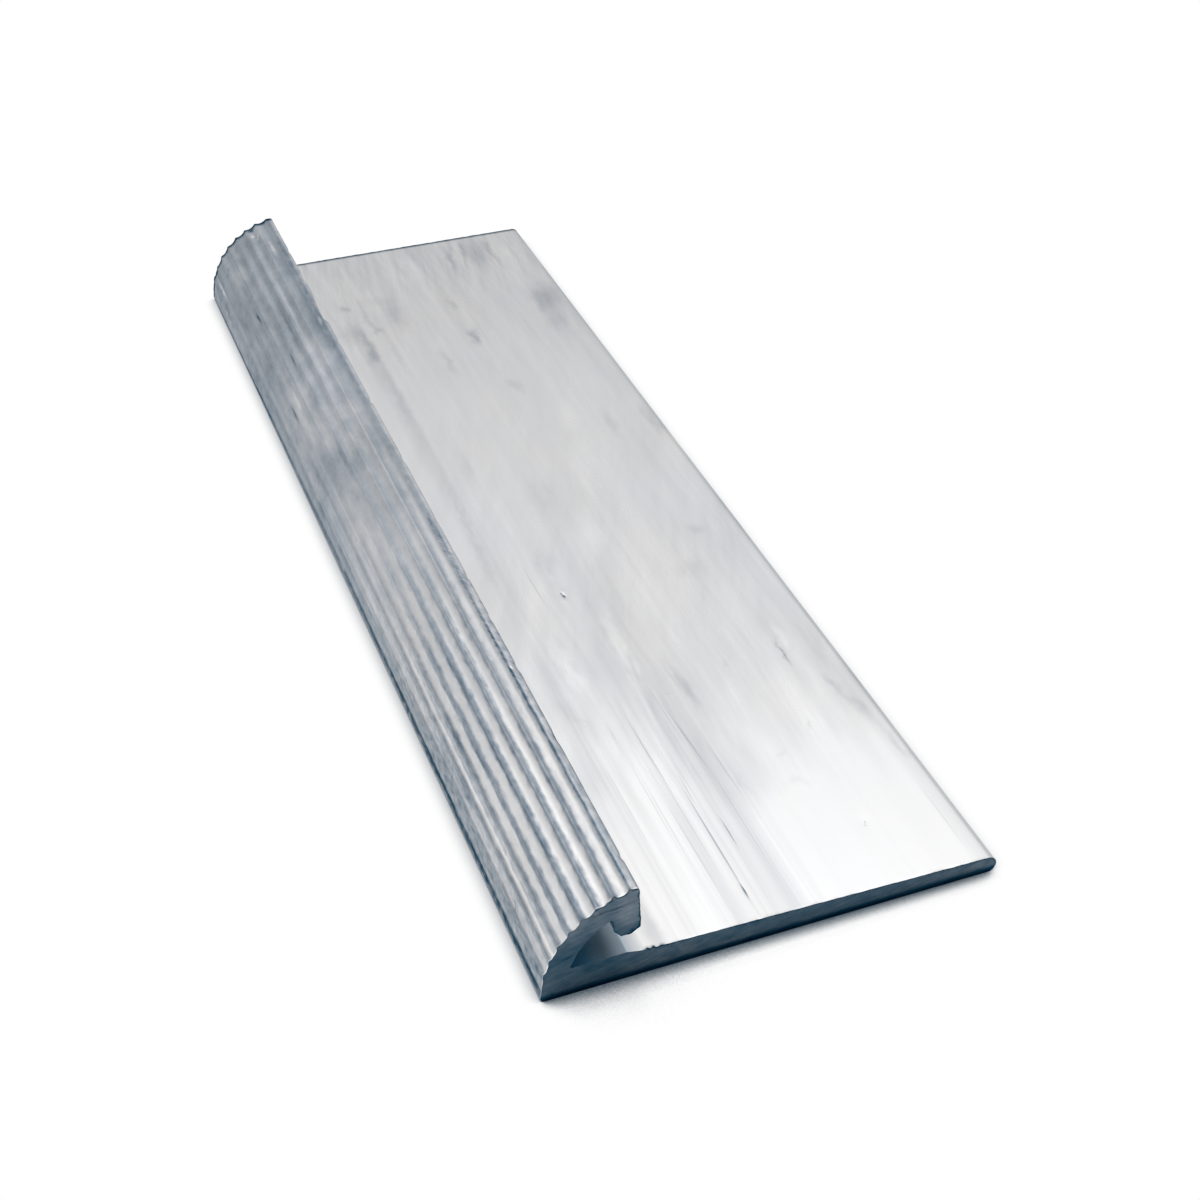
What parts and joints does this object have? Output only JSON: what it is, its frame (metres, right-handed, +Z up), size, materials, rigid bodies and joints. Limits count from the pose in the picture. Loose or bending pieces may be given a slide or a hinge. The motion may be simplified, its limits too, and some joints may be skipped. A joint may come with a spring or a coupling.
{
  "type": "carpet edge trim",
  "caption": "Extruded aluminium carpet edge trim: a fluted quarter-round nose with a hook lip over a tuck channel, and a tapered flange that lies under the carpet.",
  "frame": {"origin": "on the floor, under the middle of the trim's width and length", "axes": "+X across the trim from the fluted nose to the flange's round edge, +Y along its length, +Z up"},
  "size_m": [0.0476, 0.1524, 0.011],
  "materials": {
    "mill_aluminium": "bare mill finish, satin, with fine lines along the extrusion and sawn ends"
  },
  "bodies": {
    "root": {"edge_trim": "mill_aluminium"}
  },
  "joints": []
}
